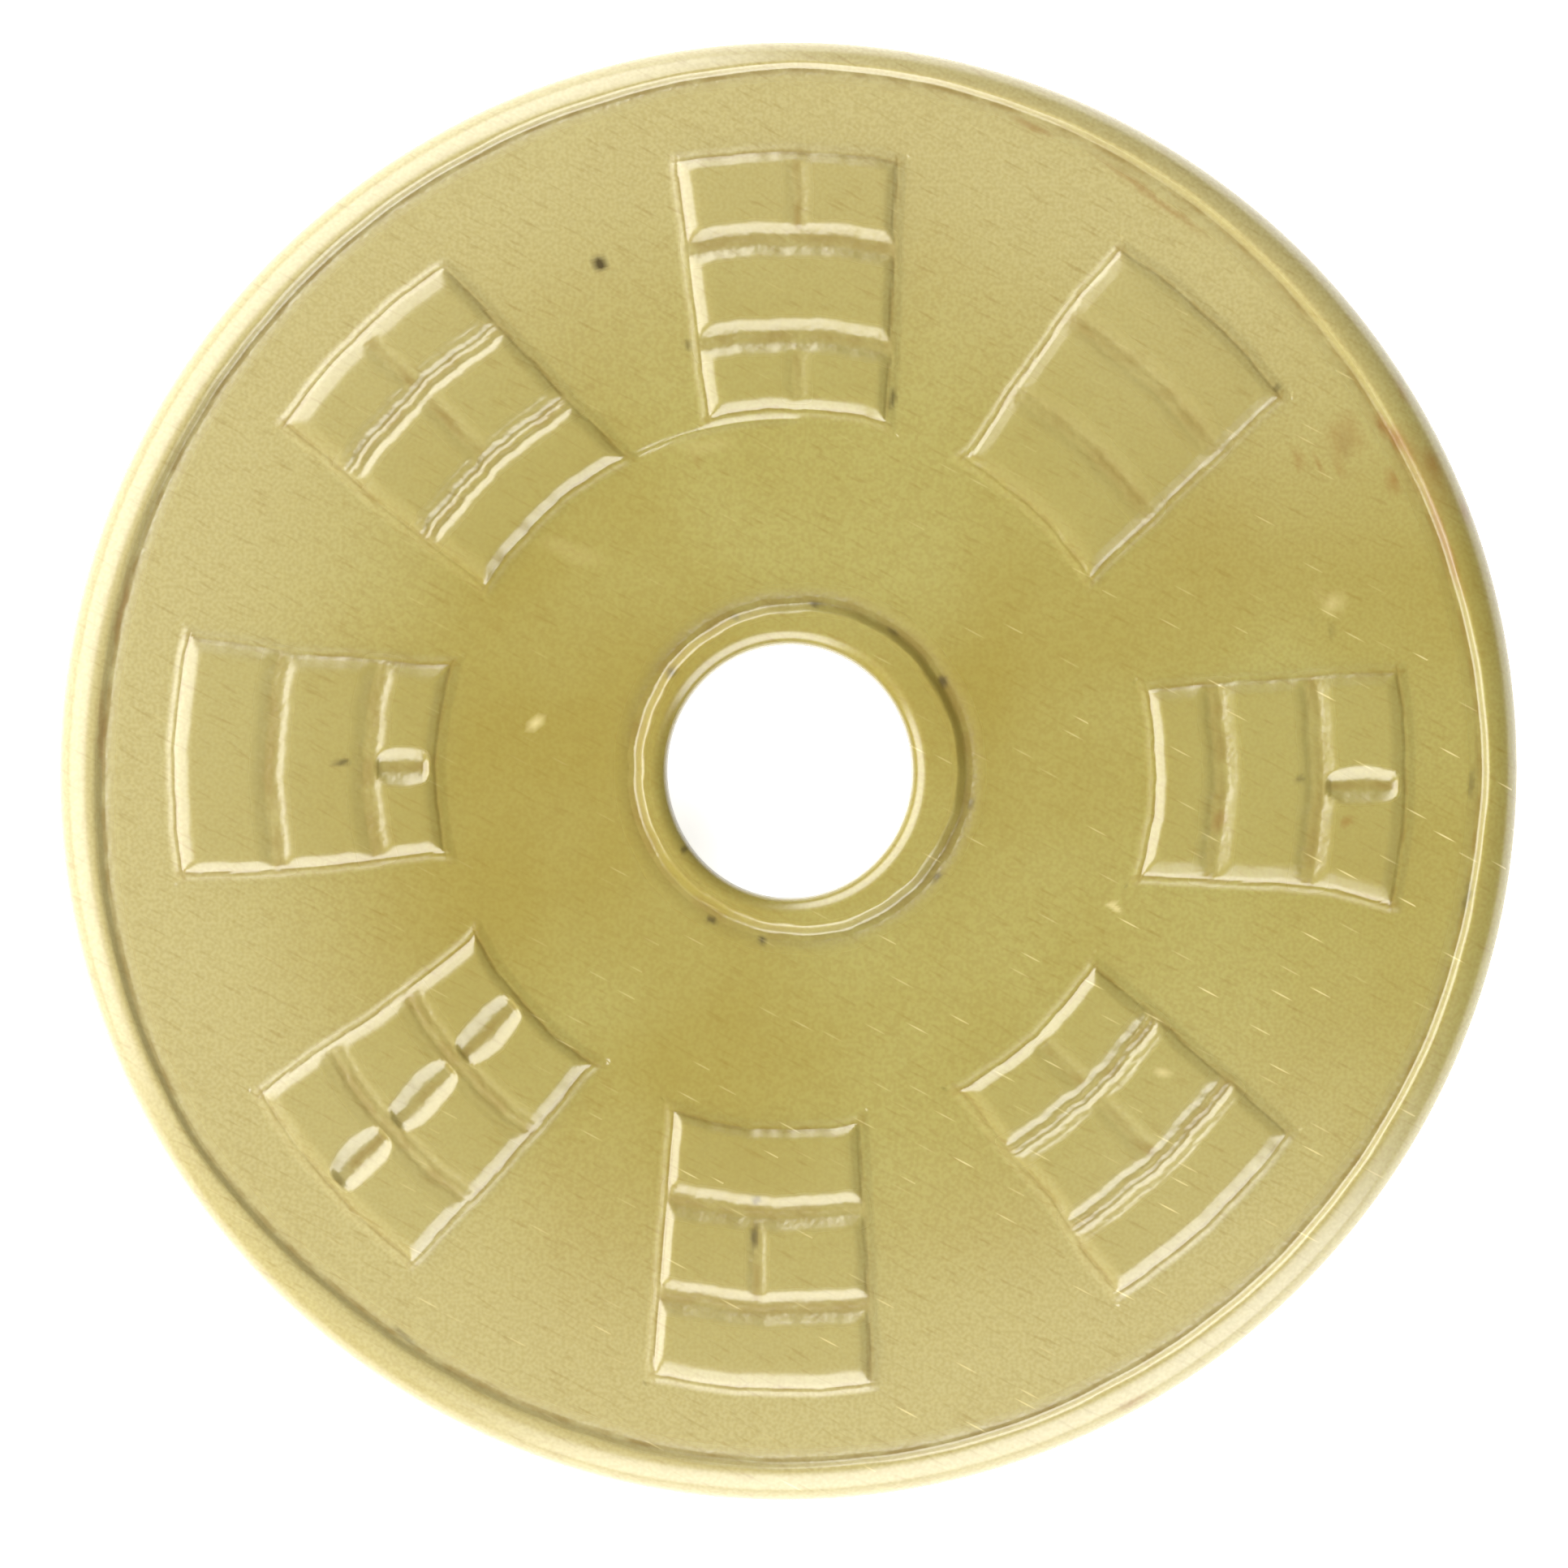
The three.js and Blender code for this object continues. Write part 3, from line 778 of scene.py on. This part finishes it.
def makeJade():
    # waxy polished nephrite: soft white shine on slopes, light sinking a little way in, dirt in the cuts
    look = jadeLook
    material = bpy.data.materials.new("nephrite_wheel_cut_and_polished")
    material.use_nodes = True
    tree = material.node_tree
    tree.nodes.clear()
    coords = addNode(tree, "ShaderNodeTexCoord").outputs["Object"]
    inMm = vectorMath(tree, "SCALE", {"Scale": 1 / mm}, {0: coords}).outputs[0]
    flat = vectorMath(tree, "MULTIPLY", {1: (1, 1, 0)}, {0: inMm}).outputs[0]

    # body, cloud, painted pale veil of reflection towards the rim, grain and the painted greyer sheen on the
    # tops
    body = addNode(tree, "ShaderNodeRGB").outputs[0]
    body.default_value = linear(look["body"])
    cloud = noise(tree, inMm, look["cloudSize"], 2)
    colour = mixed(tree, spread(tree, cloud, (0.35, 0.68)), body, look["cloud"])
    # painted reflection: a pale veil towards the rim, except at +X
    rimVeil = product(tree, attribute(tree, "rimVeil"), look["rimVeilShare"])
    colour = mixed(tree, rimVeil, colour, look["rimVeil"])
    grain = noise(tree, inMm, look["grainSize"], 0)
    grain = spread(tree, grain, (0.3, 0.7), (0, look["grainShare"]))
    colour = mixed(tree, grain, colour, look["grime"])
    # painted sheen: the trigram tops laid over in a greyer, paler colour that stands in for reflected light
    top = product(tree, attribute(tree, "top"), look["topSheenShare"])
    colour = mixed(tree, top, colour, look["top"])

    # faint streaks left by polishing
    turned = addNode(tree, "ShaderNodeMapping",
                     {"vector_type": "TEXTURE", "Scale": look["streakScale"],
                      "Rotation": (0, 0, math.radians(look["scratchBearing"]))},
                     {"Vector": flat}).outputs[0]
    streaks = spread(tree, noise(tree, turned, 1.0, 1), (0.58, 0.78), (0, look["streakShare"]))
    colour = mixed(tree, streaks, colour, look["grime"])

    # dirt in the cuts, worn away in patches, then stains and inclusions
    patches = spread(tree, noise(tree, inMm, look["patchSize"], 1), (0.36, 0.62), (0.15, 1))
    colour = mixed(tree, product(tree, attribute(tree, "grime"), patches), colour, look["grime"])
    for name in markLists:
        colour = mixed(tree, attribute(tree, name), colour, look[name])

    # scratches, stronger towards the lower right
    slant = vectorMath(tree, "DOT_PRODUCT", {1: (0.7, -0.7, 0)}, {0: flat})
    side = spread(tree, slant.outputs["Value"], (-6, 20), (0.12, 0.9))
    scratches = product(tree, scratchMask(tree, flat, look), side)
    colour = mixed(tree, scratches, colour, look["pale"])

    # ground cuts are rougher, and pitted by the grit
    ground = attribute(tree, "ground")
    rough = spread(tree, ground, (0, 1), (look["roughness"], look["groundRoughness"]))
    pits = noise(tree, inMm, look["gritSize"], 0)
    pitting = product(tree, product(tree, pits, ground), look["gritDepth"])
    bump = addNode(tree, "ShaderNodeBump", {"Strength": 1.0, "Distance": mm}, {"Height": pitting})
    shader = addNode(tree, "ShaderNodeBsdfPrincipled",
                     {"IOR": look["ior"], "Subsurface Weight": look["subsurface"],
                      "Subsurface Radius": look["subsurfaceRadius"],
                      "Subsurface Scale": look["subsurfaceScale"] * mm},
                     {"Base Color": colour, "Roughness": rough, "Normal": bump.outputs[0]})
    addNode(tree, "ShaderNodeOutputMaterial", None, {"Surface": shader.outputs[0]})
    return material


disc.data.materials.append(makeJade())
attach(disc, "root")
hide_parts("bi_disc")
print("jade material made")


# Sizes in metres, except where noted
studio = {
    "floorSize": 1.6,
    "floorGap": 0.03,  # mm, so that the table and the underside don't share a plane
    "floorGlow": 0.8,
    "world": 0.1,
    "lens": 200,  # mm
    "sensor": 36,  # mm
    "camera": (-0.16, -0.49, 335.9),  # mm from the middle of the disc
}

# Upright softboxes: bearing in degrees, distance from the disc, width, and lower and upper edge
softboxes = [
    {"name": "softbox_left", "bearing": 149, "distance": 0.5, "width": 1.5, "low": 0.06,
     "high": 0.98, "radiance": 7.2},
    {"name": "softbox_near", "bearing": 287, "distance": 0.5, "width": 0.8, "low": 0.06,
     "high": 0.94, "radiance": 7.2},
]


def makeStage():
    half = studio["floorSize"] / 2
    mesh = bpy.data.meshes.new("light_table")
    z = -studio["floorGap"] * mm
    corners = [(-half, -half, z), (half, -half, z), (half, half, z), (-half, half, z)]
    mesh.from_pydata(corners, [], [(0, 1, 2, 3)])
    floor = bpy.data.objects.new("light_table", mesh)
    bpy.context.scene.collection.objects.link(floor)
    material = bpy.data.materials.new("opal_acrylic_sheet")
    material.use_nodes = True
    shader = material.node_tree.nodes["Principled BSDF"]
    shader.inputs["Base Color"].default_value = (0.8, 0.8, 0.8, 1)
    shader.inputs["Roughness"].default_value = 0.6
    shader.inputs["Emission Color"].default_value = (1, 1, 1, 1)
    shader.inputs["Emission Strength"].default_value = studio["floorGlow"]
    mesh.materials.append(material)


def addSoftbox(box):
    # faces the disc
    height = box["high"] - box["low"]
    light = bpy.data.lights.new(box["name"], "AREA")
    light.shape = "RECTANGLE"
    light.size, light.size_y = box["width"], height
    light.energy = box["radiance"] * math.pi * box["width"] * height
    lamp = bpy.data.objects.new(box["name"], light)
    angle = math.radians(box["bearing"])
    lamp.location = (*circle(box["distance"], angle), (box["low"] + box["high"]) / 2)
    lamp.rotation_euler = (math.pi / 2, 0, angle + math.pi / 2)
    bpy.context.scene.collection.objects.link(lamp)


makeStage()
for box in softboxes:
    addSoftbox(box)
print("stage and", len(softboxes), "softboxes placed")

world = bpy.data.worlds.new("studio")
bpy.context.scene.world = world
world.use_nodes = True
background = world.node_tree.nodes["Background"]
background.inputs["Color"].default_value = (1, 1, 1, 1)
background.inputs["Strength"].default_value = studio["world"]

camera = bpy.data.cameras.new("camera")
camera.lens = studio["lens"]
camera.sensor_width = studio["sensor"]
viewer = bpy.data.objects.new("camera", camera)
across, up, away = studio["camera"]
viewer.location = (across * mm, up * mm, (discSizes["thickness"] / 2 + away) * mm)
bpy.context.scene.collection.objects.link(viewer)
bpy.context.scene.camera = viewer
bpy.context.scene.view_settings.view_transform = "Standard"
print("camera placed")
